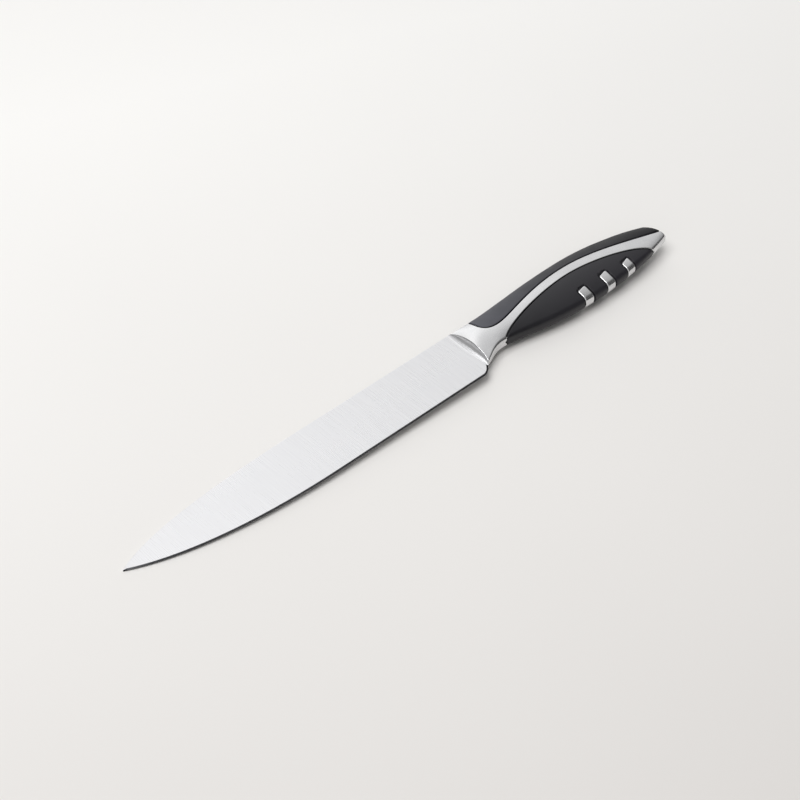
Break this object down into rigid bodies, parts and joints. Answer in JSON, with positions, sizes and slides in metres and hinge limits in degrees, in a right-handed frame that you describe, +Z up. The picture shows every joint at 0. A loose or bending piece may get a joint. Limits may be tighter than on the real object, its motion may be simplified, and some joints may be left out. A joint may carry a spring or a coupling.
{
  "type": "slicing knife",
  "caption": "Long pointed slicing knife with a satin blade, a cast steel handle frame and black grips with steel bands round the belly, lying on its side.",
  "frame": {"origin": "centre of the bounding box in X and Y, at the level of the table that the knife lies on", "axes": "+X from the tip to the butt, +Y from the cutting edge to the spine, +Z up from the table"},
  "size_m": [0.328, 0.0328, 0.0136],
  "materials": {
    "satin_steel": "satin, ground across the blade",
    "polished_steel": "polished",
    "black_plastic": "matt, slightly soft sheen",
    "pin_steel": "turned"
  },
  "bodies": {
    "root": {"blade": "satin_steel", "handle_frame": "polished_steel", "spine_grip": "black_plastic", "belly_grip": "black_plastic", "front_band": "polished_steel", "middle_band": "polished_steel", "rear_band": "polished_steel", "front_tang_pin": "pin_steel", "rear_tang_pin": "pin_steel"}
  },
  "joints": []
}
